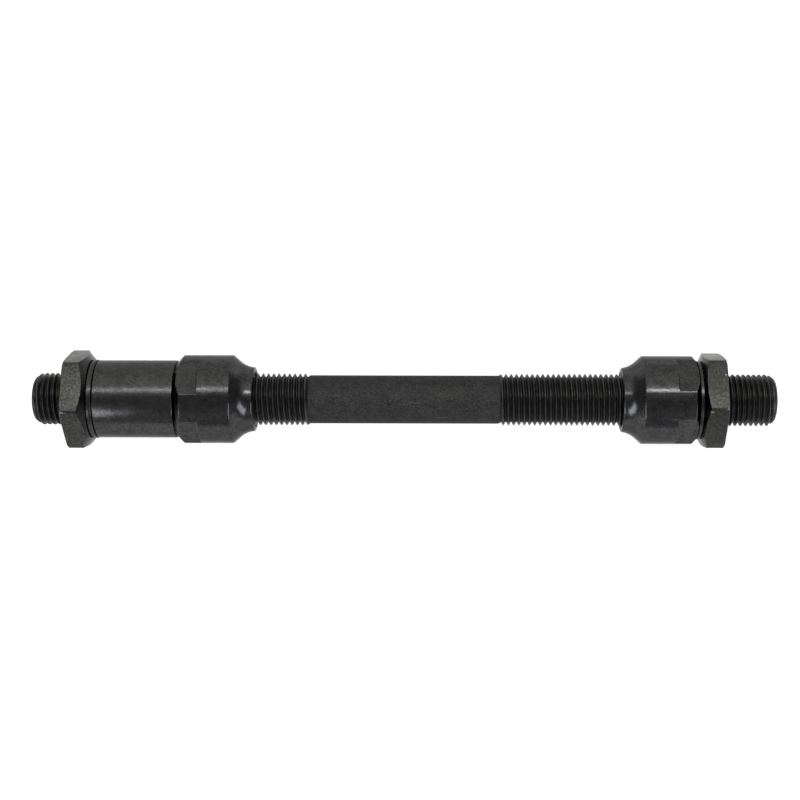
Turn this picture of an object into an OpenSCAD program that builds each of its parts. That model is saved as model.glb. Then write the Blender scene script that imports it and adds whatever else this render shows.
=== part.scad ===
// Threaded rear hub axle with its two cones, spacer, washers and locknuts.
// The axle lies along X with its middle at the origin, and +Z is up.

/* [Axle] */
// Length of the axle from end to end
axle_length = 140; // [130:0.5:160]
// Diameter over the crests of the thread
thread_diameter = 9.85; // [9.5:0.05:10.3]
// Length of the thread at the left end
left_thread_length = 51.7; // [46:0.1:58]
// Length of the thread at the right end
right_thread_length = 52.2; // [40:0.1:58]
// Diameter of the plain shank between the threads
shank_diameter = 9.14; // [8.6:0.01:9.4]
// Length of the cone where a thread runs out into the shank
thread_runout = 0.6; // [0.2:0.1:2]
// Diameter of the hole for the skewer, right through the axle
skewer_bore_diameter = 5.4; // [5:0.1:6.2]
// Length of the chamfer at each end of the axle
end_chamfer_length = 1.3; // [0.5:0.1:2.5]
// Depth of the chamfer at each end of the axle
end_chamfer_depth = 0.9; // [0.3:0.05:1.2]

/* [Places on the axle] */
// Length of axle that stands out past the left locknut
left_axle_end = 6.45; // [4:0.05:12]
// Length of axle that stands out past the right locknut
right_axle_end = 9.9; // [4:0.1:14]
// Turn of the left locknut from a corner pointing along Y, in degrees
left_locknut_turn = 0; // [-30:0.1:30]
// Turn of the right locknut from a corner pointing along Y, in degrees
right_locknut_turn = -6.2; // [-30:0.1:30]
// Turn of the left cone from a flat facing along Y, in degrees
left_cone_turn = 71.6; // [0:0.1:90]
// Turn of the right cone from a flat facing along Y, in degrees
right_cone_turn = 66.1; // [0:0.1:90]

/* [Locknuts] */
// Distance across the flats of a locknut
locknut_across_flats = 17; // [15:0.5:19]
// Thickness of a locknut
locknut_thickness = 4.55; // [3:0.05:6]
// Diameter over the rounded corners of a locknut
locknut_across_corners = 19.16; // [17:0.02:21]
// Diameter of the seating face, on the washer's side
locknut_seat_diameter = 15.4; // [13:0.1:16.5]
// Length of the chamfer round the seating face
locknut_seat_chamfer = 1.75; // [0.5:0.05:2.2]
// Diameter of the outer face, against the frame
locknut_face_diameter = 18.4; // [15:0.1:19]
// Length of the chamfer round the outer face
locknut_face_chamfer = 0.3; // [0.2:0.05:1]

/* [Cones] */
// Length of a cone from its outer face to its nose
cone_length = 14.4; // [12:0.1:18]
// Diameter of a cone's barrel
cone_diameter = 16.74; // [15.6:0.02:18]
// Diameter of the nose
cone_nose_diameter = 12.14; // [11.4:0.02:12.8]
// Radius of the hollow in the race that the bearing balls run in
race_radius = 4.65; // [3.2:0.05:6]
// Slope of the race where it leaves the barrel, in degrees from the axis
race_slope = 42; // [35:1:50]
// Slope of the race at the nose, in degrees from the axis
race_nose_slope = 3; // [0:1:10]
// Break on the edges of the race, at the barrel and at the nose
race_edge_break = 0.25; // [0.1:0.05:0.4]
// Distance across the flats for the cone spanner
cone_across_flats = 15; // [13.5:0.1:15.5]
// Length of the flats, from the outer face
cone_flat_length = 4; // [2.5:0.1:6]
// Number of flats round the cone
cone_flat_count = 4; // [2:2:4]
// Chamfer round the outer face
cone_chamfer = 0.85; // [0.3:0.05:1.2]

/* [Spacer and washers] */
// Length of the spacer tube
spacer_length = 15.7; // [8:0.1:20]
// Outside diameter of the spacer tube
spacer_diameter = 14.7; // [13:0.1:16]
// Outside diameter of a washer
washer_diameter = 14.9; // [13:0.1:16]
// Thickness of a washer
washer_thickness = 0.5; // [0.4:0.05:1.5]
// Break on the edges of the spacer and the washers
ring_edge_break = 0.15; // [0.05:0.05:0.25]

/* [Fits] */
// Room on each side between the thread's crests and a threaded piece
thread_clearance = 0.04; // [0.02:0.01:0.08]
// Room on each side between the thread's crests and a plain ring
ring_clearance = 0.08; // [0.03:0.01:0.1]
// Countersink at each mouth of a threaded hole
countersink = 0.5; // [0.2:0.1:0.8]
// Countersink at each mouth of the skewer hole
skewer_countersink = 0.3; // [0.1:0.1:0.5]

/* [Hidden] */

round_sides = 96;
cut_overrun = 1;

thread_radius = thread_diameter / 2;
shank_radius = shank_diameter / 2;
skewer_bore_radius = skewer_bore_diameter / 2;
threaded_hole_radius = thread_radius + thread_clearance;
ring_hole_radius = thread_radius + ring_clearance;
cone_radius = cone_diameter / 2;

// Faces of the left stack, from the outside in
left_end_x = -axle_length / 2;
left_locknut_x = left_end_x + left_axle_end;
left_washer_x = left_locknut_x + locknut_thickness;
left_spacer_x = left_washer_x + washer_thickness;
left_cone_x = left_spacer_x + spacer_length;

// Faces of the right stack, from the outside in
right_end_x = axle_length / 2;
right_locknut_x = right_end_x - right_axle_end;
right_washer_x = right_locknut_x - locknut_thickness;
right_cone_x = right_washer_x - washer_thickness;

// Points of the race in the cone's section, with x from the outer face and y from the
// axis: the circle's centre, where the circle meets the straight slope, and where the
// slope meets the barrel
race_centre = [cone_length, cone_nose_diameter / 2]
    + race_radius * [sin(race_nose_slope), cos(race_nose_slope)];
race_start = race_centre - race_radius * [sin(race_slope), cos(race_slope)];
race_shoulder_x = race_start[0] - (cone_radius - race_start[1]) / tan(race_slope);

// Spins a section round the axle. In the section, x runs along the axle from the piece's
// own outer face and y is the distance from the axis.
module turned() {
    rotate([90, 0, 90])
        rotate_extrude($fn = round_sides)
            mirror([1, -1])
                children();
}

// A ring's section: a tube wall with the same break on all its edges.
module ring_section(length, inner_radius, outer_radius, edge_break) {
    polygon([
        [0, inner_radius + edge_break],
        [0, outer_radius - edge_break],
        [edge_break, outer_radius],
        [length - edge_break, outer_radius],
        [length, outer_radius - edge_break],
        [length, inner_radius + edge_break],
        [length - edge_break, inner_radius],
        [edge_break, inner_radius]
    ]);
}

module axle() {
    color("#1d1d1e")
        translate([left_end_x, 0, 0])
            turned()
                polygon([
                    [0, skewer_bore_radius + skewer_countersink],
                    [0, thread_radius - end_chamfer_depth],
                    [end_chamfer_length, thread_radius],
                    [left_thread_length - thread_runout, thread_radius],
                    [left_thread_length, shank_radius],
                    [axle_length - right_thread_length, shank_radius],
                    [axle_length - right_thread_length + thread_runout, thread_radius],
                    [axle_length - end_chamfer_length, thread_radius],
                    [axle_length, thread_radius - end_chamfer_depth],
                    [axle_length, skewer_bore_radius + skewer_countersink],
                    [axle_length - skewer_countersink, skewer_bore_radius],
                    [skewer_countersink, skewer_bore_radius]
                ]);
}

// Hexagon nut, its outer face at x = 0 and its seating face towards +X.
module locknut() {
    intersection() {
        rotate([90, 0, 90])
            linear_extrude(locknut_thickness)
                circle(r = locknut_across_flats / 2 / cos(30), $fn = 6);
        turned()
            polygon([
                [0, threaded_hole_radius + countersink],
                [0, locknut_face_diameter / 2],
                [locknut_face_chamfer, locknut_across_corners / 2],
                [locknut_thickness - locknut_seat_chamfer, locknut_across_corners / 2],
                [locknut_thickness, locknut_seat_diameter / 2],
                [locknut_thickness, threaded_hole_radius + countersink],
                [locknut_thickness - countersink, threaded_hole_radius],
                [countersink, threaded_hole_radius]
            ]);
    }
}

// Section of a cone: the barrel, the sloped race hollowed by its circle, and the nose.
module cone_section() {
    nose_corner = cone_length + cone_nose_diameter / 2 - race_edge_break;
    intersection() {
        difference() {
            polygon([
                [0, threaded_hole_radius + countersink],
                [0, cone_radius - cone_chamfer],
                [cone_chamfer, cone_radius],
                [race_shoulder_x - race_edge_break, cone_radius],
                [race_shoulder_x, cone_radius] + race_edge_break * [cos(race_slope), -sin(race_slope)],
                race_start,
                [cone_length, race_start[1]],
                [cone_length, threaded_hole_radius + countersink],
                [cone_length - countersink, threaded_hole_radius],
                [countersink, threaded_hole_radius]
            ]);
            translate(race_centre)
                circle(r = race_radius, $fn = round_sides);
        }
        polygon([[-cut_overrun, 0], [nose_corner, 0], [-cut_overrun, nose_corner + cut_overrun]]);
    }
}

// Bearing cone, its outer face at x = 0 and its race towards +X.
module bearing_cone() {
    difference() {
        turned() cone_section();
        for (i = [0 : cone_flat_count - 1])
            rotate([i * 360 / cone_flat_count, 0, 0])
                translate([-cut_overrun, cone_across_flats / 2, -cone_radius])
                    cube([cone_flat_length + cut_overrun, cone_radius, cone_diameter]);
    }
}

module washer() {
    turned() ring_section(washer_thickness, ring_hole_radius, washer_diameter / 2, ring_edge_break);
}

module left_locknut() {
    color("#2b2d2c")
        translate([left_locknut_x, 0, 0]) rotate([left_locknut_turn, 0, 0]) locknut();
}

module left_washer() {
    color("#343536")
        translate([left_washer_x, 0, 0]) washer();
}

module left_spacer() {
    color("#262629")
        translate([left_spacer_x, 0, 0])
            turned() ring_section(spacer_length, ring_hole_radius, spacer_diameter / 2, ring_edge_break);
}

module left_cone() {
    color("#232327")
        translate([left_cone_x, 0, 0]) rotate([left_cone_turn, 0, 0]) bearing_cone();
}

module right_locknut() {
    color("#2b2d2c")
        translate([right_locknut_x, 0, 0])
            rotate([right_locknut_turn, 0, 0]) mirror([1, 0, 0]) locknut();
}

module right_washer() {
    color("#343536")
        translate([right_washer_x, 0, 0]) mirror([1, 0, 0]) washer();
}

module right_cone() {
    color("#232327")
        translate([right_cone_x, 0, 0])
            rotate([right_cone_turn, 0, 0]) mirror([1, 0, 0]) bearing_cone();
}

axle();
left_locknut();
left_washer();
left_spacer();
left_cone();
right_locknut();
right_washer();
right_cone();
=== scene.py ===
import math

import bmesh
import bpy
from mathutils import Matrix, Vector


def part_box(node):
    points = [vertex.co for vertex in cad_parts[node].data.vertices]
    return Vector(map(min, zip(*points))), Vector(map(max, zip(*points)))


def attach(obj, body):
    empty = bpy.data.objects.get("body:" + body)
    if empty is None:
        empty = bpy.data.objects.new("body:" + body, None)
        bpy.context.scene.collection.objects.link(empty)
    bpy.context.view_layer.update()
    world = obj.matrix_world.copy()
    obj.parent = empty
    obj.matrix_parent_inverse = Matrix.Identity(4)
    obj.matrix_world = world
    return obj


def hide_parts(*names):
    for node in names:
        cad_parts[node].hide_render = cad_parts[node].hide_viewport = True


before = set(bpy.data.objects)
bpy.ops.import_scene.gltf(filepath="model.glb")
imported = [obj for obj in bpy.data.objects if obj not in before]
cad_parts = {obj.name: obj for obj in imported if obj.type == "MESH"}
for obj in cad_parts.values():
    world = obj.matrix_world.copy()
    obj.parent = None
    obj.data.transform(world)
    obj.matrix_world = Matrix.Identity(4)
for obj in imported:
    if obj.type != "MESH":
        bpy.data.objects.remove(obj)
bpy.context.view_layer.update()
mm = 0.001
print("frame loaded:", ", ".join(sorted(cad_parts)))


# Camera
# The axle lies on a white table and the camera looks down on it, a little from the front.
# A direction round the axle is an angle up from the front, so 90 is straight up.
view = {
    "elevation": 76.0,
    "distance": 290 * mm,
    "footX": 8.6 * mm,  # the point of the axis that the lens looks at squarely
    "footDrop": 0.085 * mm,  # how far under the axis the lens points
    "roll": 0.136,
    "frameWidth": 800,
    "pixelsPerMm": 5.263,  # at the axis
    "middlePixel": 405.25,  # where the middle of the axle sits across the frame
    "sensor": 36.0,
}


def around(angle):
    turned = math.radians(angle)
    return Vector((0, -math.cos(turned), math.sin(turned)))


def makeCamera():
    data = bpy.data.cameras.new("camera")
    camera = bpy.data.objects.new("camera", data)
    bpy.context.collection.objects.link(camera)
    focalPixels = view["pixelsPerMm"] * view["distance"] / mm
    data.sensor_width = view["sensor"]
    data.lens = focalPixels * view["sensor"] / view["frameWidth"]
    # the frame is cut to the left of what the lens looks at
    footPixel = view["middlePixel"] + view["footX"] / mm * view["pixelsPerMm"]
    data.shift_x = (view["frameWidth"] / 2 - footPixel) / view["frameWidth"]
    data.clip_start = 0.01
    out = around(view["elevation"])
    up = around(view["elevation"] + 90)
    target = Vector((view["footX"], 0, 0)) - up * view["footDrop"]
    right = up.cross(out)
    turn = Matrix((right, up, out)).transposed().to_4x4()
    turn = turn @ Matrix.Rotation(math.radians(view["roll"]), 4, "Z")
    camera.matrix_world = Matrix.Translation(target + out * view["distance"]) @ turn
    bpy.context.scene.camera = camera


makeCamera()


# Helpers for meshes
def meshObject(name, build, smoothAngle=30):
    mesh = bpy.data.meshes.new(name)
    build.to_mesh(mesh)
    build.free()
    piece = bpy.data.objects.new(name, mesh)
    bpy.context.collection.objects.link(piece)
    for face in mesh.polygons:
        face.use_smooth = True
    mesh.set_sharp_from_angle(angle=math.radians(smoothAngle))
    return piece


# Keeps flat faces flat to the eye beside the small roundings at their edges.
def weighNormals(piece):
    modifier = piece.modifiers.new("face weights", "WEIGHTED_NORMAL")
    modifier.keep_sharp = True
    modifier.weight = 80


# Rounds the corners of a closed outline. A corner is (x, radius from the axis, fillet).
def roundedOutline(corners, steps=4):
    points = []
    for i, (x, r, fillet) in enumerate(corners):
        here = Vector((x, r))
        before = Vector(corners[i - 1][:2]) - here
        after = Vector(corners[(i + 1) % len(corners)][:2]) - here
        if fillet == 0:
            points.append(here)
            continue
        room = 0.48 * min(before.length, after.length)
        if room < 1e-8:
            points += [here] * (steps + 1)
            continue
        before.normalize()
        after.normalize()
        half = before.angle(after) / 2
        reach = min(fillet / math.tan(half), room)
        start, end = here + before * reach, here + after * reach
        centre = here + (before + after).normalized() * (reach / math.cos(half))
        sweep = math.pi - 2 * half
        for k in range(steps + 1):
            s = k / steps
            first = math.sin((1 - s) * sweep) / math.sin(sweep)
            second = math.sin(s * sweep) / math.sin(sweep)
            points.append(centre + (start - centre) * first + (end - centre) * second)
    return points


# The lesser of two radii, with the edge between them rounded.
def softLeast(a, b, rounding):
    blend = max(rounding - abs(a - b), 0) / rounding
    return min(a, b) - blend * blend * rounding / 4


# Spins a closed section round the axle. section(angle) gives the same number of points
# at every angle, so flats and chamfers can change it on the way round.
def spin(section, angles):
    build = bmesh.new()
    rings = []
    for angle in angles:
        ring = [
            build.verts.new((p.x, p.y * math.cos(angle), p.y * math.sin(angle)))
            for p in section(angle)
        ]
        rings.append(ring)
    for i, ring in enumerate(rings):
        nextRing = rings[(i + 1) % len(rings)]
        for j in range(len(ring)):
            k = (j + 1) % len(ring)
            build.faces.new((ring[j], ring[k], nextRing[k], nextRing[j]))
    bmesh.ops.remove_doubles(build, verts=build.verts, dist=2e-7)
    bmesh.ops.dissolve_degenerate(build, edges=build.edges, dist=1e-7)
    bmesh.ops.recalc_face_normals(build, faces=build.faces)
    return build


def evenAngles(count):
    return [2 * math.pi * i / count for i in range(count)]


def cutWith(piece, tool, how):
    modifier = piece.modifiers.new(how, "BOOLEAN")
    modifier.operation = how
    modifier.solver = "MANIFOLD"
    modifier.object = tool
    graph = bpy.context.evaluated_depsgraph_get()
    result = bpy.data.meshes.new_from_object(piece.evaluated_get(graph))
    piece.modifiers.clear()
    old = piece.data
    piece.data = result
    bpy.data.meshes.remove(old)
    bpy.data.objects.remove(tool)


# Threads
thread = {
    "pitch": 1.0 * mm,
    "depth": 0.66 * mm,
    "columns": 80,
    "leftPhase": 0.018 * mm,  # place of a crest on the side that faces +Y
    "rightPhase": 0.076 * mm,
    "tapRoom": 0.035 * mm,  # play between a nut's thread and the axle's
    "holeRadius": 4.46 * mm,
    "fade": 0.6 * mm,
}
# One pitch of the thread, crest first: share of the pitch, share of the depth
threadShape = [
    (-0.070, 0.05), (-0.030, 0.0), (0.030, 0.0), (0.070, 0.05),
    (0.420, 0.95), (0.460, 1.0), (0.540, 1.0), (0.580, 0.95),
]


# Rows of a right-hand helix from one x to another. Each row holds one knot of the
# thread's shape, and its last column meets the row one turn further on.
def helixRows(build, fromX, toX, phase, crest, weight, plain):
    pitch, columns = thread["pitch"], thread["columns"]
    firstTurn = math.floor((fromX - phase) / pitch) + 1
    lastTurn = math.floor((toX - phase) / pitch) - 2
    rows = []
    for turn in range(firstTurn, lastTurn + 1):
        for share, drop in threadShape:
            row = []
            for i in range(columns + 1):
                x = phase + pitch * (turn + share + i / columns)
                w = weight(x)
                r = plain + w * (crest - thread["depth"] * drop - plain)
                row.append((x, r, 2 * math.pi * i / columns))
            rows.append(row)
    knots = len(threadShape)
    grid = []
    for m, row in enumerate(rows):
        last = m + knots >= len(rows)
        points = row if last else row[:-1]
        grid.append([build.verts.new((x, r * math.cos(a), r * math.sin(a))) for x, r, a in points])
    for m in range(len(rows) - knots):
        grid[m].append(grid[m + knots][0])
    for m in range(len(rows) - 1):
        for i in range(columns):
            build.faces.new((grid[m][i], grid[m + 1][i], grid[m + 1][i + 1], grid[m][i + 1]))
    return grid


# The open edges of a helix: along its first or last row and back down the seam.
def helixEdge(grid, atStart):
    knots, columns = len(threadShape), thread["columns"]
    if atStart:
        return grid[0][:columns] + [grid[k][0] for k in range(knots, 0, -1)]
    return grid[-1][:columns] + [grid[len(grid) - 1 - k][columns] for k in range(knots)]


def closeToPoint(build, edge, x):
    tip = build.verts.new((x, 0, 0))
    for i, vert in enumerate(edge):
        build.faces.new((vert, edge[(i + 1) % len(edge)], tip))


def plainRing(build, x, r):
    return [
        build.verts.new((x, r * math.cos(a), r * math.sin(a)))
        for a in evenAngles(thread["columns"])
    ]


def joinEdgeToRing(build, edge, ring):
    columns = thread["columns"]
    for i in range(columns - 1):
        build.faces.new((edge[i], edge[i + 1], ring[i + 1], ring[i]))
    build.faces.new([edge[columns - 1], *edge[columns:], edge[0], ring[0], ring[columns - 1]])


# A threaded rod that runs past both ends of what it cuts, as a tap does.
def makeTap(name, fromX, toX, phase, crest):
    build = bmesh.new()
    spare = 3 * thread["pitch"]
    grid = helixRows(build, fromX - spare, toX + spare, phase, crest, lambda x: 1, crest)
    closeToPoint(build, helixEdge(grid, True), fromX - 2 * spare)
    closeToPoint(build, helixEdge(grid, False), toX + 2 * spare)
    bmesh.ops.recalc_face_normals(build, faces=build.faces)
    return meshObject(name, build)


# Axle
axleSizes = {
    "shankRadius": 4.57 * mm,
    "leftThreadEnd": -17.9 * mm,
    "rightThreadEnd": 17.7 * mm,
    "chamferLength": 1.3 * mm,
    "chamferDepth": 0.9 * mm,
    "boreRadius": 2.7 * mm,
    "boreChamfer": 0.3 * mm,
    "endRound": 0.9 * mm,
}


def makeAxle():
    low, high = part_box("axle")
    crest = (high.z - low.z) / 2
    shank, fade = axleSizes["shankRadius"], thread["fade"]
    leftEnd, rightEnd = axleSizes["leftThreadEnd"], axleSizes["rightThreadEnd"]

    def leftWeight(x):
        s = min(max((leftEnd - x) / fade, 0), 1)
        return s * s * (3 - 2 * s)

    def rightWeight(x):
        s = min(max((x - rightEnd) / fade, 0), 1)
        return s * s * (3 - 2 * s)

    build = bmesh.new()
    spare = 3 * thread["pitch"]
    left = helixRows(build, low.x - spare, leftEnd + spare, thread["leftPhase"], crest, leftWeight, shank)
    right = helixRows(build, rightEnd - spare, high.x + spare, thread["rightPhase"], crest, rightWeight, shank)
    closeToPoint(build, helixEdge(left, True), low.x - 2 * spare)
    closeToPoint(build, helixEdge(right, False), high.x + 2 * spare)
    shankStart = plainRing(build, leftEnd + 2 * spare, shank)
    shankStop = plainRing(build, rightEnd - 2 * spare, shank)
    joinEdgeToRing(build, helixEdge(left, False), shankStart)
    joinEdgeToRing(build, helixEdge(right, True), shankStop)
    count = thread["columns"]
    for i in range(count):
        k = (i + 1) % count
        build.faces.new((shankStart[i], shankStart[k], shankStop[k], shankStop[i]))
    bmesh.ops.recalc_face_normals(build, faces=build.faces)
    axle = meshObject("axle_bar", build)

    # the blank that the thread was rolled on gives the rounded ends and the skewer hole
    length, depth = axleSizes["chamferLength"], axleSizes["chamferDepth"]
    bore, sink, rounding = axleSizes["boreRadius"], axleSizes["boreChamfer"], axleSizes["endRound"]
    beyond = 1.2
    outline = roundedOutline([
        (low.x, bore + sink, 0),
        (low.x, crest - depth, rounding),
        (low.x + length, crest, rounding),
        (low.x + 2 * length, crest * beyond, 0),
        (high.x - 2 * length, crest * beyond, 0),
        (high.x - length, crest, rounding),
        (high.x, crest - depth, rounding),
        (high.x, bore + sink, 0),
        (high.x - sink, bore, 0),
        (low.x + sink, bore, 0),
    ], steps=6)
    blank = meshObject("blank", spin(lambda angle: outline, evenAngles(count)))
    cutWith(axle, blank, "INTERSECT")
    return axle


# Locknuts
locknut = {
    "cornerRound": 0.14 * mm,
    "seatRadius": 7.8 * mm,
    "seatChamfer": {"left_locknut": 1.4 * mm, "right_locknut": 0.85 * mm},
    "seatGap": {"left_locknut": 0.15 * mm, "right_locknut": 0.3 * mm},  # left to the washer
    "faceRadius": 9.2 * mm,
    "faceChamfer": 0.3 * mm,
    "dome": 0.16 * mm,  # how far the middle of a flat stands out
    "leastChamfer": 0.1 * mm,  # on the flats, where the turned chamfer doesn't reach
    "mouthRadius": 5.46 * mm,
    "edge": 0.09 * mm,
    "faceSteps": 26,
    "turn": {"left_locknut": 0.0, "right_locknut": -6.2},
}


# Angles round a nut, closer together at its corners.
def hexAngles(steps):
    sixth = math.pi / 3
    shares = [0.5 - 0.5 * math.cos(math.pi * i / steps) for i in range(steps)]
    return [sixth * (side + share) for side in range(6) for share in shares]


def makeLocknut(node, phase):
    low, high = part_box(node)
    sizeLow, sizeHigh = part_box("left_locknut")
    halfFlats, corner = sizeHigh.z, sizeHigh.y
    outward = 1 if high.x > 0 else -1
    face = high.x if outward > 0 else low.x
    thickness = high.x - low.x - locknut["seatGap"][node]
    turned = math.radians(locknut["turn"][node])
    edge, mouth, hole = locknut["edge"], locknut["mouthRadius"], thread["holeRadius"]
    seat, seatChamfer = locknut["seatRadius"], locknut["seatChamfer"][node]
    faceRadius, faceChamfer = locknut["faceRadius"], locknut["faceChamfer"]
    least = locknut["leastChamfer"]

    def section(angle):
        fromFlat = (angle - turned) % (math.pi / 3) - math.pi / 6
        across = math.tan(fromFlat) / math.tan(math.pi / 6)
        flat = (halfFlats - locknut["dome"] * across**2) / math.cos(fromFlat)
        r = softLeast(flat, corner, locknut["cornerRound"])
        faceEdge = max(least, (r - faceRadius) / (corner - faceRadius) * faceChamfer)
        seatEdge = thickness - (r - seat) / (corner - seat) * seatChamfer
        outline = roundedOutline([
            (0, mouth, edge),
            (0, min(r - least, faceRadius), edge),
            (faceEdge, r, edge),
            (seatEdge, r, edge),
            (thickness, seat, edge),
            (thickness, mouth, edge),
            (thickness - (mouth - hole), hole, 0),
            (mouth - hole, hole, 0),
        ])
        return [Vector((face - outward * p.x, p.y)) for p in outline]

    angles = [angle + turned for angle in hexAngles(locknut["faceSteps"])]
    piece = meshObject(node + "_hex", spin(section, angles))
    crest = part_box("axle")[1].z + thread["tapRoom"]
    cutWith(piece, makeTap("tap", low.x, high.x, phase, crest), "DIFFERENCE")
    weighNormals(piece)
    return piece


# Cones
cone = {
    "flats": 4,
    "halfFlats": 7.5 * mm,
    "flatLength": 4.1 * mm,
    "faceGap": {"left_cone": 0.25 * mm, "right_cone": 0.0},  # left to the ring beside it
    "noseCut": {"left_cone": 0.0, "right_cone": 0.25 * mm},
    "chamfer": 0.85 * mm,
    "leastChamfer": 0.1 * mm,
    "noseRadius": 6.07 * mm,
    "raceRadius": 4.65 * mm,
    "raceSlope": 42.0,
    "noseSlope": 3.0,
    "raceSteps": 12,
    "mouthRadius": 5.46 * mm,
    "edge": 0.16 * mm,
    "noseRound": 0.35 * mm,
    "shoulderRound": 0.5 * mm,
    "wallRound": 0.12 * mm,
    "wallFootRound": 0.4 * mm,
    "borderRound": 0.06 * mm,
    "turn": {"left_cone": 71.6, "right_cone": 66.1},
}


# Angles round a cone, closer together at the borders of its flats.
def coneAngles(radius):
    quarter = 2 * math.pi / cone["flats"]
    border = math.acos(cone["halfFlats"] / radius)
    near = [-3, -2, -1.3, -0.8, -0.4, 0, 0.4, 0.8, 1.3, 2, 3]
    steps = 14
    angles = []
    for side in range(cone["flats"]):
        middle = side * quarter
        angles += [middle + border * 0.9 * (2 * i / steps - 1) for i in range(steps + 1)]
        angles += [middle + border + math.radians(d) for d in near]
        rest = quarter - 2 * border
        angles += [middle + border + rest * i / 8 for i in range(2, 7)]
        angles += [middle - border + math.radians(d) for d in near]
    return sorted(set(round(a % (2 * math.pi), 6) for a in angles))


def makeCone(node, phase):
    low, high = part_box(node)
    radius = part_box("left_cone")[1].y
    radius = max(radius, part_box("left_cone")[1].z)
    outward = 1 if high.x > 0 else -1
    gap, cut = cone["faceGap"][node], cone["noseCut"][node]
    face = (high.x if outward > 0 else low.x) - outward * gap
    length = high.x - low.x - gap
    turned = math.radians(cone["turn"][node])
    quarter = 2 * math.pi / cone["flats"]
    steep, gentle = math.radians(cone["raceSlope"]), math.radians(cone["noseSlope"])
    raceRadius, edge = cone["raceRadius"], cone["edge"]
    centre = Vector((length, cone["noseRadius"])) + raceRadius * Vector((math.sin(gentle), math.cos(gentle)))
    race = []
    for i in range(cone["raceSteps"] - 2):
        slope = steep + (gentle - steep) * i / cone["raceSteps"]
        race.append(centre - raceRadius * Vector((math.sin(slope), math.cos(slope))))
    shoulder = race[0].x - (radius - race[0].y) / math.tan(steep)
    mouth, hole = cone["mouthRadius"], thread["holeRadius"]
    length -= cut

    def section(angle):
        fromFlat = (angle - turned + quarter / 2) % quarter - quarter / 2
        flat = cone["halfFlats"] / math.cos(fromFlat)
        r = softLeast(flat, radius, cone["borderRound"])
        lip, least = radius - cone["chamfer"], cone["leastChamfer"]
        outline = roundedOutline([
            (0, mouth, edge),
            (0, min(lip, r - least), edge),
            (max(least, r - lip), r, edge),
            (cone["flatLength"], r, cone["wallFootRound"]),
            (cone["flatLength"], radius, cone["wallRound"]),
            (shoulder, radius, cone["shoulderRound"]),
            *[(p.x, p.y, 0) for p in race],
            (length, cone["noseRadius"], cone["noseRound"]),
            (length, mouth, edge),
            (length - (mouth - hole), hole, 0),
            (mouth - hole, hole, 0),
        ])
        return [Vector((face - outward * p.x, p.y)) for p in outline]

    angles = [angle + turned for angle in coneAngles(radius)]
    piece = meshObject(node + "_race", spin(section, angles))
    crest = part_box("axle")[1].z + thread["tapRoom"]
    cutWith(piece, makeTap("tap", low.x, high.x, phase, crest), "DIFFERENCE")
    weighNormals(piece)
    return piece


# Spacer and washers
# "ends" are the gaps that show at a ring's left and right end; a minus reaches further.
rings = {
    "left_spacer": {"name": "left_spacer_tube", "edge": 0.2 * mm, "ends": (0.48 * mm, 0.28 * mm)},
    "left_washer": {"name": "left_washer_ring", "edge": 0.14 * mm, "ends": (-0.10 * mm, -0.36 * mm)},
    "right_washer": {"name": "right_washer_ring", "edge": 0.14 * mm, "ends": (0.04 * mm, -0.22 * mm)},
    "holePlay": 0.08 * mm,
    "steps": 128,
}


def makeRing(node):
    low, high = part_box(node)
    outer, inner = high.z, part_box("axle")[1].z + rings["holePlay"]
    edge, ends = rings[node]["edge"], rings[node]["ends"]
    start, stop = low.x + ends[0], high.x - ends[1]
    outline = roundedOutline([(start, inner, edge), (start, outer, edge), (stop, outer, edge), (stop, inner, edge)])
    return meshObject(rings[node]["name"], spin(lambda angle: outline, evenAngles(rings["steps"])))


# Node groups that several materials share
def newGroup(name, inputs, outputs):
    group = bpy.data.node_groups.new(name, "ShaderNodeTree")
    for socket, kind, value in inputs:
        made = group.interface.new_socket(socket, in_out="INPUT", socket_type=kind)
        if value is not None:
            made.default_value = value
    for socket, kind in outputs:
        group.interface.new_socket(socket, in_out="OUTPUT", socket_type=kind)
    entry = group.nodes.new("NodeGroupInput")
    leave = group.nodes.new("NodeGroupOutput")
    return group, entry, leave


def addNode(tree, kind, values=None, **links):
    node = tree.nodes.new(kind)
    for key, value in (values or {}).items():
        setattr(node, key, value)
    for key, source in links.items():
        socket = node.inputs[int(key[1:])] if key[0] == "i" and key[1:].isdigit() else node.inputs[key]
        if isinstance(source, bpy.types.NodeSocket):
            tree.links.new(source, socket)
        else:
            socket.default_value = source
    return node


def mathNode(tree, operation, a, b=None, clamp=False):
    links = {"i0": a}
    if b is not None:
        links["i1"] = b
    return addNode(tree, "ShaderNodeMath", {"operation": operation, "use_clamp": clamp}, **links).outputs[0]


def mapRange(tree, value, fromLow, fromHigh, toLow=0.0, toHigh=1.0, smooth=False):
    kind = "SMOOTHSTEP" if smooth else "LINEAR"
    node = addNode(
        tree, "ShaderNodeMapRange", {"interpolation_type": kind},
        i0=value, i1=fromLow, i2=fromHigh, i3=toLow, i4=toHigh,
    )
    return node.outputs[0]


def mixColour(tree, share, first, second):
    node = addNode(tree, "ShaderNodeMix", {"data_type": "RGBA"}, i0=share, i6=first, i7=second)
    return node.outputs[2]


def mixValue(tree, share, first, second):
    return addNode(tree, "ShaderNodeMix", {"data_type": "FLOAT"}, i0=share, i2=first, i3=second).outputs[0]


def scaled(tree, vector, x, y, z):
    return addNode(tree, "ShaderNodeMapping", i0=vector, i3=(x, y, z)).outputs[0]


def noise(tree, vector, scale, detail=2.0, roughness=0.5, distortion=0.0):
    node = addNode(
        tree, "ShaderNodeTexNoise", Vector=vector, Scale=scale, Detail=detail,
        Roughness=roughness, Distortion=distortion,
    )
    return node.outputs["Fac"]


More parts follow.
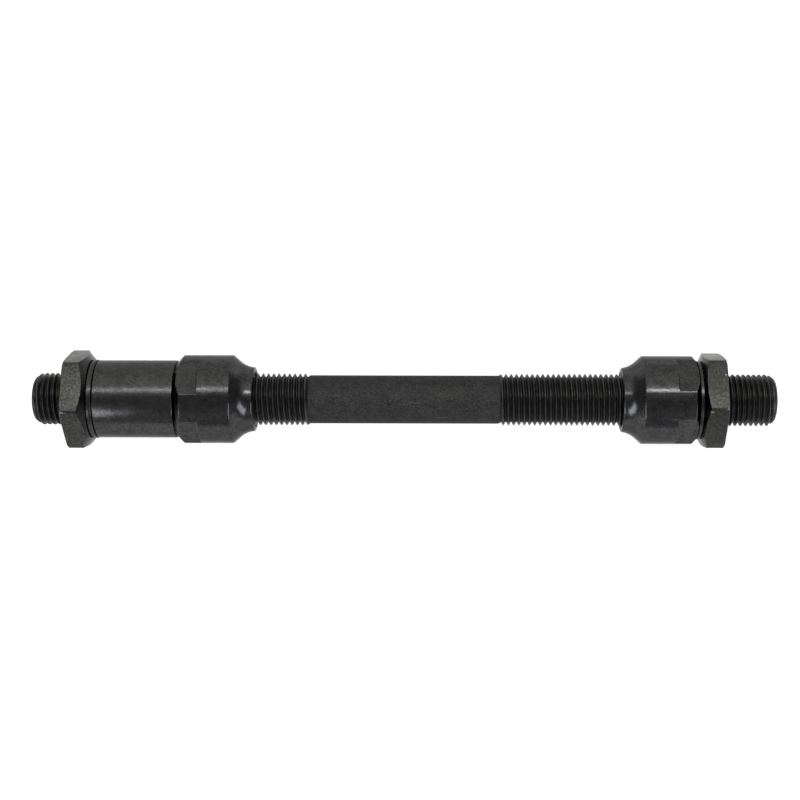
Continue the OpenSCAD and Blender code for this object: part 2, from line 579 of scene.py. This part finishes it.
# Rings left by the lathe: fine lines round the axle, broken up along their length.
def makeTurningMarks():
    group, entry, leave = newGroup(
        "turningMarks",
        [("Vector", "NodeSocketVector", None), ("Lines per mm", "NodeSocketFloat", 6.0),
         ("Break up", "NodeSocketFloat", 0.05)],
        [("Height", "NodeSocketFloat")],
    )
    along = entry.outputs["Lines per mm"]
    across = mathNode(group, "MULTIPLY", along, entry.outputs["Break up"])
    scale = addNode(group, "ShaderNodeCombineXYZ", i0=along, i1=across, i2=across).outputs[0]
    stretched = addNode(
        group, "ShaderNodeVectorMath", {"operation": "MULTIPLY"},
        i0=entry.outputs["Vector"], i1=scale,
    ).outputs[0]
    lines = noise(group, stretched, 1.0, detail=4.0, roughness=0.65)
    group.links.new(lines, leave.inputs["Height"])
    return group


# Blotches of a chemical black finish: a slow cloud and a finer one over it.
def makeOxideTone():
    group, entry, leave = newGroup(
        "oxideTone",
        [("Vector", "NodeSocketVector", None), ("Dark", "NodeSocketColor", (0.02, 0.02, 0.02, 1)),
         ("Light", "NodeSocketColor", (0.05, 0.05, 0.05, 1)), ("Size", "NodeSocketFloat", 1.0)],
        [("Color", "NodeSocketColor"), ("Mask", "NodeSocketFloat")],
    )
    shrink = mathNode(group, "DIVIDE", 1.0, entry.outputs["Size"])
    slow = noise(group, entry.outputs["Vector"], shrink, detail=3.0, roughness=0.6)
    fine = noise(group, entry.outputs["Vector"], mathNode(group, "MULTIPLY", shrink, 5.5), detail=3.0)
    both = mathNode(group, "ADD", mathNode(group, "MULTIPLY", slow, 0.3), mathNode(group, "MULTIPLY", fine, 0.7))
    mask = mapRange(group, both, 0.38, 0.62, smooth=True)
    colour = mixColour(group, mask, entry.outputs["Dark"], entry.outputs["Light"])
    group.links.new(colour, leave.inputs["Color"])
    group.links.new(mask, leave.inputs["Mask"])
    return group


# Fine pits and grains of tumbled or blasted steel.
def makeGrain():
    group, entry, leave = newGroup(
        "steelGrain",
        [("Vector", "NodeSocketVector", None), ("Grains per mm", "NodeSocketFloat", 5.0)],
        [("Height", "NodeSocketFloat"), ("Specks", "NodeSocketFloat")],
    )
    fine = noise(group, entry.outputs["Vector"], entry.outputs["Grains per mm"], detail=3.0, roughness=0.7)
    specks = mapRange(group, fine, 0.56, 0.68)
    group.links.new(fine, leave.inputs["Height"])
    group.links.new(specks, leave.inputs["Specks"])
    return group


# Where an edge has been rubbed: the difference between the true normal and one rounded
# over a small radius, broken up by noise.
def makeEdgeRub():
    group, entry, leave = newGroup(
        "edgeRub",
        [("Vector", "NodeSocketVector", None), ("Radius", "NodeSocketFloat", 0.0002),
         ("Amount", "NodeSocketFloat", 1.0)],
        [("Mask", "NodeSocketFloat")],
    )
    rounded = addNode(group, "ShaderNodeBevel", {"samples": 4}, Radius=entry.outputs["Radius"])
    true = addNode(group, "ShaderNodeNewGeometry")
    alike = addNode(
        group, "ShaderNodeVectorMath", {"operation": "DOT_PRODUCT"},
        i0=rounded.outputs[0], i1=true.outputs["Normal"],
    ).outputs["Value"]
    edge = mapRange(group, alike, 0.995, 0.86, smooth=True)
    patches = mapRange(group, noise(group, entry.outputs["Vector"], 1.6, detail=4.0), 0.38, 0.62)
    mask = mathNode(group, "MULTIPLY", mathNode(group, "MULTIPLY", edge, patches), entry.outputs["Amount"], clamp=True)
    group.links.new(mask, leave.inputs["Mask"])
    return group


# Thin handling scratches in two directions.
def makeScratches():
    group, entry, leave = newGroup(
        "scratches",
        [("Vector", "NodeSocketVector", None), ("Density", "NodeSocketFloat", 0.5)],
        [("Mask", "NodeSocketFloat")],
    )
    found = None
    for lean, stretch in ((0.35, 9.0), (-0.9, 7.0)):
        turned = addNode(group, "ShaderNodeMapping", i0=entry.outputs["Vector"], i2=(lean, lean / 2, lean)).outputs[0]
        thin = scaled(group, turned, 0.35, stretch, stretch)
        lines = noise(group, thin, 0.45, detail=1.0)
        ridge = mathNode(group, "ABSOLUTE", mathNode(group, "SUBTRACT", lines, 0.5))
        line = mapRange(group, ridge, 0.012, 0.0)
        gaps = mapRange(group, noise(group, turned, 0.22, detail=1.0), 0.55, 0.68)
        layer = mathNode(group, "MULTIPLY", line, gaps)
        found = layer if found is None else mathNode(group, "MAXIMUM", found, layer)
    mask = mathNode(group, "MULTIPLY", found, entry.outputs["Density"], clamp=True)
    group.links.new(mask, leave.inputs["Mask"])
    return group


# One mark at a place of its own, with a ragged edge; it serves for knocks and rubs and for painted highlights.
def makeWearAndHighlightMark():
    group, entry, leave = newGroup(
        "wearAndHighlightMark",
        [("Vector", "NodeSocketVector", None), ("Place", "NodeSocketVector", (0, 0, 0)),
         ("Size", "NodeSocketVector", (1, 1, 1))],
        [("Mask", "NodeSocketFloat")],
    )
    vector = entry.outputs["Vector"]
    away = addNode(group, "ShaderNodeVectorMath", {"operation": "SUBTRACT"}, i0=vector, i1=entry.outputs["Place"])
    share = addNode(group, "ShaderNodeVectorMath", {"operation": "DIVIDE"}, i0=away.outputs[0], i1=entry.outputs["Size"])
    far = addNode(group, "ShaderNodeVectorMath", {"operation": "LENGTH"}, i0=share.outputs[0]).outputs["Value"]
    ragged = mathNode(group, "ADD", far, mapRange(group, noise(group, vector, 5.0), 0.3, 0.7, -0.3, 0.3))
    group.links.new(mapRange(group, ragged, 1.0, 0.7, smooth=True), leave.inputs["Mask"])
    return group


groups = {
    "wearAndHighlightMark": makeWearAndHighlightMark(),
    "turningMarks": makeTurningMarks(),
    "oxideTone": makeOxideTone(),
    "steelGrain": makeGrain(),
    "edgeRub": makeEdgeRub(),
    "scratches": makeScratches(),
}
print("node groups made:", ", ".join(groups))


# Materials
def newMaterial(name):
    material = bpy.data.materials.new(name)
    material.use_nodes = True
    tree = material.node_tree
    shader = tree.nodes["Principled BSDF"]
    where = addNode(tree, "ShaderNodeTexCoord").outputs["Object"]
    inMm = scaled(tree, where, 1 / mm, 1 / mm, 1 / mm)
    return material, tree, shader, inMm


def useGroup(tree, name, **values):
    node = tree.nodes.new("ShaderNodeGroup")
    node.node_tree = groups[name]
    for key, value in values.items():
        socket = node.inputs[key.replace("_", " ")]
        if isinstance(value, bpy.types.NodeSocket):
            tree.links.new(value, socket)
        else:
            socket.default_value = value
    return node


def bump(tree, shader, height, distance, strength=1.0):
    node = addNode(tree, "ShaderNodeBump", Height=height, Distance=distance, Strength=strength)
    tree.links.new(node.outputs[0], shader.inputs["Normal"])


# All the wear marks and painted highlight marks of a piece as one mask. A mark is (place, size), in mm.
def wearAndHighlightMarks(tree, where, marks):
    found = 0.0
    for spot, size in marks:
        mark = useGroup(tree, "wearAndHighlightMark", Vector=where, Place=spot, Size=size)
        found = mathNode(tree, "MAXIMUM", found, mark.outputs["Mask"])
    return found


def grey(level, tint=0.0):
    return (level * (1 - tint), level, level * (1 + 2 * tint), 1)


# Turned steel with a black oxide skin: the spacer, the cones and the washers.
turnedSteel = {
    "cone_steel": {"dark": grey(0.028), "light": grey(0.058, 0.01), "rough": (0.16, 0.25), "edgeOn": grey(0.6),
                   "lines": 7.0, "bump": 0.0012, "grain": 6.0, "grains": 3.2, "rub": 0.5, "bare": grey(0.30)},
    "spacer_steel": {"dark": grey(0.030), "light": grey(0.062), "rough": (0.18, 0.28), "edgeOn": grey(0.6),
                     "lines": 5.0, "bump": 0.002, "grain": 7.0, "grains": 3.0, "rub": 0.15, "bare": grey(0.25)},
    "washer_steel": {"dark": grey(0.034), "light": grey(0.050), "rough": (0.20, 0.30), "edgeOn": grey(0.6),
                     "lines": 5.0, "bump": 0.002, "grain": 1.0, "grains": 4.0, "rub": 0.1, "bare": grey(0.25)},
}


def makeTurnedSteel(name):
    look = turnedSteel[name]
    material, tree, shader, where = newMaterial(name)
    shader.inputs["Metallic"].default_value = 1.0
    shader.inputs["Specular Tint"].default_value = look["edgeOn"]
    tone = useGroup(tree, "oxideTone", Vector=where, Dark=look["dark"], Light=look["light"], Size=1.6)
    marks = useGroup(tree, "turningMarks", Vector=where, Lines_per_mm=look["lines"])
    grain = useGroup(tree, "steelGrain", Vector=where, Grains_per_mm=look["grains"])
    rub = useGroup(tree, "edgeRub", Vector=where, Radius=0.00018, Amount=look["rub"])
    scratch = useGroup(tree, "scratches", Vector=where, Density=0.35)
    worn = mathNode(tree, "MAXIMUM", rub.outputs["Mask"], mathNode(tree, "MULTIPLY", scratch.outputs["Mask"], 0.4))
    colour = mixColour(tree, worn, tone.outputs["Color"], look["bare"])
    tree.links.new(colour, shader.inputs["Base Color"])
    low, high = look["rough"]
    rough = mapRange(tree, marks.outputs["Height"], 0.3, 0.7, low, high)
    tree.links.new(rough, shader.inputs["Roughness"])
    height = mathNode(
        tree, "ADD", marks.outputs["Height"], mathNode(tree, "MULTIPLY", grain.outputs["Height"], look["grain"]))
    bump(tree, shader, height, look["bump"] * mm)
    return material


# Blasted locknuts: lighter, rougher and speckled, with painted shade on the faces that look along the axle and painted
# highlights at two corner edges.
blastedSteel = {
    "dark": (0.026, 0.027, 0.025, 1),
    "light": (0.043, 0.045, 0.041, 1),
    "speck": (0.095, 0.097, 0.092, 1),
    # bare steel where edges are rubbed and knocked, also used here for painted highlights
    "bare": (0.20, 0.20, 0.195, 1),
    "rough": (0.28, 0.40),
    # these two colours are painted shade for the seat chamfer and the other faces that look along the axle
    "chamferPaintedShadeDark": (0.012, 0.012, 0.012, 1),
    "chamferPaintedShadeLight": (0.023, 0.023, 0.023, 1),
    "chamferRough": (0.20, 0.28),
    "edgeOn": grey(0.9),
    # the first and third marks are painted highlights on corner edges of the right locknut, the second is a knock on a
    # flat, and the fourth is a light spot at a corner of the left one
    "marks": [
        ((56.67, -4.45, 8.32), (0.9, 0.25, 0.25)),
        ((59.6, 2.8, 8.24), (0.2, 0.2, 0.2)),
        ((59.9, -3.87, 8.77), (0.3, 0.22, 0.22)),
        ((-63.1, -4.79, 8.30), (0.45, 0.16, 0.16)),
    ],
}


def makeBlastedSteel():
    look = blastedSteel
    material, tree, shader, where = newMaterial("locknut_steel")
    shader.inputs["Metallic"].default_value = 1.0
    shader.inputs["Specular Tint"].default_value = look["edgeOn"]
    tone = useGroup(tree, "oxideTone", Vector=where, Dark=look["dark"], Light=look["light"], Size=2.2)
    grain = useGroup(tree, "steelGrain", Vector=where, Grains_per_mm=3.2)
    rub = useGroup(tree, "edgeRub", Vector=where, Radius=0.00022, Amount=0.8)
    speckled = mixColour(
        tree, mathNode(tree, "MULTIPLY", grain.outputs["Specks"], 0.8), tone.outputs["Color"], look["speck"])
    # rubbed edges and knocks, and painted highlights at two corners, all in the bare colour
    worn = mathNode(tree, "MAXIMUM", rub.outputs["Mask"], wearAndHighlightMarks(tree, where, look["marks"]))
    # the chamfers are turned after blasting, so they are smoother; they and the other faces that look along the axle
    # get a darker colour, which is painted shade
    facing = addNode(tree, "ShaderNodeSeparateXYZ", i0=addNode(tree, "ShaderNodeTexCoord").outputs["Normal"])
    turned = mapRange(tree, mathNode(tree, "ABSOLUTE", facing.outputs[0]), 0.3, 0.6, smooth=True)
    # painted shade: the dark tone laid on those faces, whose mask also sets their smoother roughness
    paintedChamferShade = useGroup(
        tree, "oxideTone", Vector=where, Dark=look["chamferPaintedShadeDark"], Light=look["chamferPaintedShadeLight"], Size=1.2)
    skinWithPaintedShade = mixColour(tree, turned, speckled, paintedChamferShade.outputs["Color"])
    colour = mixColour(tree, worn, skinWithPaintedShade, look["bare"])
    tree.links.new(colour, shader.inputs["Base Color"])
    low, high = look["rough"]
    rough = mapRange(tree, tone.outputs["Mask"], 0.0, 1.0, high, low)
    low, high = look["chamferRough"]
    smoother = mapRange(tree, paintedChamferShade.outputs["Mask"], 0.0, 1.0, high, low)
    tree.links.new(mixValue(tree, turned, rough, smoother), shader.inputs["Roughness"])
    bump(tree, shader, grain.outputs["Height"], 0.018 * mm)
    return material


# The axle: matt plain shank, near-black threads with rubbed crests.
axleSteel = {
    "shankDark": (0.025, 0.025, 0.026, 1),
    "shankLight": (0.049, 0.049, 0.048, 1),
    "shankSpeck": (0.12, 0.12, 0.115, 1),
    "threadDark": (0.032, 0.031, 0.031, 1),
    "threadLight": (0.048, 0.047, 0.046, 1),
    "crest": (0.10, 0.10, 0.098, 1),
    "edgeOn": grey(0.72),
    "bare": (0.13, 0.13, 0.126, 1),
    "deep": (0.014, 0.014, 0.014, 1),
    "shankRough": 0.7,
    "threadRough": 0.40,
    "lightMarks": [
        ((2.3, 2.8, 3.61), (0.12, 0.6, 0.6)),
        ((2.32, 1.45, 4.33), (0.14, 0.6, 0.6)),
        ((-0.19, -2.01, 4.11), (1.2, 0.14, 0.3)),
        ((2.05, -1.69, 4.24), (1.2, 0.14, 0.3)),
        ((6.82, -0.06, 4.57), (0.5, 0.12, 0.3)),
        ((-12.63, -0.44, 4.55), (1.0, 0.14, 0.3)),
        ((6.81, -4.08, 2.06), (1.8, 0.12, 0.3)),
        ((-3.13, 1.88, 4.16), (0.16, 0.4, 0.4)),
    ],
    "darkMarks": [
        ((12.63, -3.05, 3.4), (1.9, 0.14, 0.3)),
        ((8.69, -1.45, 4.33), (0.9, 0.25, 0.3)),
        ((-2.9, -1.97, 4.12), (0.5, 0.4, 0.3)),
        ((4.39, -2.23, 3.99), (0.8, 0.2, 0.3)),
    ],
}


def makeAxleSteel():
    look = axleSteel
    material, tree, shader, where = newMaterial("axle_steel")
    shader.inputs["Metallic"].default_value = 1.0
    shader.inputs["Specular Tint"].default_value = look["edgeOn"]
    parts = addNode(tree, "ShaderNodeSeparateXYZ", i0=where)
    middle = (axleSizes["leftThreadEnd"] + axleSizes["rightThreadEnd"]) / 2 / mm
    half = (axleSizes["rightThreadEnd"] - axleSizes["leftThreadEnd"]) / 2 / mm
    away = mathNode(tree, "ABSOLUTE", mathNode(tree, "SUBTRACT", parts.outputs[0], middle))
    threaded = mapRange(tree, away, half + 0.0, half + 0.5, smooth=True)
    square = mathNode(
        tree, "ADD", mathNode(tree, "POWER", parts.outputs[1], 2.0), mathNode(tree, "POWER", parts.outputs[2], 2.0))
    radius = mathNode(tree, "SQRT", square)
    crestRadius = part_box("axle")[1].z / mm
    crest = mapRange(tree, radius, crestRadius - 0.07, crestRadius - 0.01, smooth=True)
    patches = mapRange(tree, noise(tree, where, 0.9, detail=3.0), 0.35, 0.7)
    crestRub = mathNode(tree, "MULTIPLY", mathNode(tree, "MULTIPLY", crest, patches), threaded)

    shank = useGroup(tree, "oxideTone", Vector=where, Dark=look["shankDark"], Light=look["shankLight"], Size=1.3)
    dark = useGroup(tree, "oxideTone", Vector=where, Dark=look["threadDark"], Light=look["threadLight"], Size=1.2)
    scratch = useGroup(tree, "scratches", Vector=where, Density=0.5)
    grain = useGroup(tree, "steelGrain", Vector=where, Grains_per_mm=3.6)
    faint = mathNode(tree, "MULTIPLY", wearAndHighlightMarks(tree, where, look["lightMarks"]), 0.3)
    deep = mathNode(tree, "MULTIPLY", wearAndHighlightMarks(tree, where, look["darkMarks"]), 0.45)
    worn = mathNode(tree, "MAXIMUM", scratch.outputs["Mask"], faint)
    speckled = mixColour(
        tree, mathNode(tree, "MULTIPLY", grain.outputs["Specks"], 0.5), shank.outputs["Color"], look["shankSpeck"])
    scratched = mixColour(tree, deep, mixColour(tree, worn, speckled, look["bare"]), look["deep"])
    base = mixColour(tree, threaded, scratched, dark.outputs["Color"])
    colour = mixColour(tree, mathNode(tree, "MULTIPLY", crestRub, 0.8), base, look["crest"])
    tree.links.new(colour, shader.inputs["Base Color"])
    rough = mixValue(tree, threaded, look["shankRough"], look["threadRough"])
    uneven = mathNode(tree, "ADD", rough, mapRange(tree, grain.outputs["Height"], 0.3, 0.7, -0.05, 0.05))
    tree.links.new(uneven, shader.inputs["Roughness"])
    bump(tree, shader, grain.outputs["Height"], 0.012 * mm)
    return material


materials = {name: makeTurnedSteel(name) for name in turnedSteel}
materials["locknut_steel"] = makeBlastedSteel()
materials["axle_steel"] = makeAxleSteel()
print("materials made:", ", ".join(materials))


# The pieces
def fitPiece(piece, node, slotName):
    for part in (piece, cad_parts[node]):
        part.data.materials.clear()
        part.data.materials.append(materials[slotName])
    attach(piece, node)
    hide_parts(node)
    print("made", piece.name, len(piece.data.polygons), "faces")


fitPiece(makeAxle(), "axle", "axle_steel")
fitPiece(makeLocknut("left_locknut", thread["leftPhase"]), "left_locknut", "locknut_steel")
fitPiece(makeLocknut("right_locknut", thread["rightPhase"]), "right_locknut", "locknut_steel")
fitPiece(makeCone("left_cone", thread["leftPhase"]), "left_cone", "cone_steel")
fitPiece(makeCone("right_cone", thread["rightPhase"]), "right_cone", "cone_steel")
fitPiece(makeRing("left_spacer"), "left_spacer", "spacer_steel")
fitPiece(makeRing("left_washer"), "left_washer", "washer_steel")
fitPiece(makeRing("right_washer"), "right_washer", "washer_steel")


# Table, light and background
studio = {
    "tableSize": 40.0,
    "tableColour": (0.45, 0.45, 0.45, 1),
    "tableGlow": 0.75,
    "lamps": {
        "stripRight": {"side": 0, "up": 102, "distance": 0.55, "x": 0.17, "length": 0.30, "width": 0.03,
                       "power": 0.78, "colour": (1.0, 0.99, 0.96)},
        "stripLeft": {"side": 0, "up": 102, "distance": 0.55, "x": -0.20, "length": 0.44, "width": 0.03,
                      "power": 0.58, "colour": (1.0, 0.99, 0.96)},
        "softLeft": {"side": -48, "up": 26.5, "distance": 0.6, "x": 0, "length": 0.42, "width": 0.20,
                     "power": 1.7, "colour": (0.90, 0.94, 1.0)},
        "softRight": {"side": 48, "up": 26.5, "distance": 0.6, "x": 0, "length": 0.42, "width": 0.20,
                      "power": 1.7, "colour": (0.90, 0.94, 1.0)},
    },
    # level of the surroundings by the angle up from the front, over the top to the back
    "sky": [(0, 0.52), (20, 0.54), (51, 0.40), (78, 0.36), (88, 0.48), (94, 0.85), (100, 1.25), (117, 1.35),
            (137, 1.2), (151, 1.05), (180, 1.0)],
    "skyFront": (1.03, 0.98, 1.05),
    "skyBack": (1.0, 1.0, 0.94),
    "sideLevel": 0.26,  # the level far out to the left and right
}


def makeTable():
    # the axle rests on a flat of the left locknut and a corner of the right one
    leftLow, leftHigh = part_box("left_locknut")
    rightLow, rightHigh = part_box("right_locknut")
    leftX, rightX = (leftLow.x + leftHigh.x) / 2, (rightLow.x + rightHigh.x) / 2
    slope = (rightLow.z - leftLow.z) / (rightX - leftX)
    build = bmesh.new()
    bmesh.ops.create_grid(build, x_segments=1, y_segments=1, size=studio["tableSize"] / 2)
    table = meshObject("table", build)
    table.location = (0, 0, leftLow.z - slope * leftX)
    table.rotation_euler = (0, -math.atan(slope), 0)
    material = bpy.data.materials.new("table_white")
    material.use_nodes = True
    tree = material.node_tree
    shader = tree.nodes["Principled BSDF"]
    shader.inputs["Base Color"].default_value = studio["tableColour"]
    shader.inputs["Roughness"].default_value = 0.9
    shader.inputs["Specular IOR Level"].default_value = 0.1
    rays = addNode(tree, "ShaderNodeLightPath")
    seen = mathNode(tree, "MAXIMUM", rays.outputs["Is Camera Ray"], rays.outputs["Is Glossy Ray"])
    seen = mathNode(tree, "MAXIMUM", seen, rays.outputs["Is Transmission Ray"])
    glow = addNode(tree, "ShaderNodeEmission", Strength=mathNode(tree, "MULTIPLY", seen, studio["tableGlow"]))
    both = addNode(tree, "ShaderNodeAddShader", i0=shader.outputs[0], i1=glow.outputs[0])
    tree.links.new(both.outputs[0], tree.nodes["Material Output"].inputs["Surface"])
    table.data.materials.append(material)


def makeLamp(name):
    look = studio["lamps"][name]
    data = bpy.data.lights.new(name, "AREA")
    data.shape = "RECTANGLE"
    data.size, data.size_y = look["length"], look["width"]
    data.energy = look["power"]
    data.color = look["colour"]
    lamp = bpy.data.objects.new(name, data)
    bpy.context.collection.objects.link(lamp)
    turn = Matrix.Rotation(math.radians(look["side"]), 3, "Z")
    out = turn @ around(look["up"])
    level = turn @ Vector((1, 0, 0))
    axes = Matrix((level, out.cross(level), out)).transposed().to_4x4()
    lamp.matrix_world = Matrix.Translation(out * look["distance"] + Vector((look["x"], 0, 0))) @ axes


def makeWorld():
    world = bpy.data.worlds.new("studio")
    bpy.context.scene.world = world
    world.use_nodes = True
    tree = world.node_tree
    background = tree.nodes["Background"]
    direction = addNode(tree, "ShaderNodeTexCoord").outputs["Generated"]
    parts = addNode(tree, "ShaderNodeSeparateXYZ", i0=direction)
    front = mathNode(tree, "MULTIPLY", parts.outputs[1], -1.0)
    height = mathNode(tree, "ABSOLUTE", parts.outputs[2])
    angle = mathNode(tree, "ARCTAN2", height, front)
    ramp = addNode(tree, "ShaderNodeValToRGB", i0=mapRange(tree, angle, 0.0, math.pi))
    stops = ramp.color_ramp.elements
    stops.remove(stops[1])
    brightest = max(level for up, level in studio["sky"])
    for i, (up, level) in enumerate(studio["sky"]):
        stop = stops[i] if i < 1 else stops.new(up / 180)
        stop.position = up / 180
        tint = Vector(studio["skyFront"]).lerp(Vector(studio["skyBack"]), up / 180)
        stop.color = (*(tint * level / brightest), 1)
    sideways = mapRange(tree, mathNode(tree, "ABSOLUTE", parts.outputs[0]), 0.45, 0.9, smooth=True)
    tone = mixColour(tree, sideways, ramp.outputs[0], grey(studio["sideLevel"] / brightest))
    tree.links.new(tone, background.inputs["Color"])
    background.inputs["Strength"].default_value = brightest


makeTable()
for lampName in studio["lamps"]:
    makeLamp(lampName)
makeWorld()
bpy.context.scene.view_settings.view_transform = "Standard"
print("table, lamps and background made")
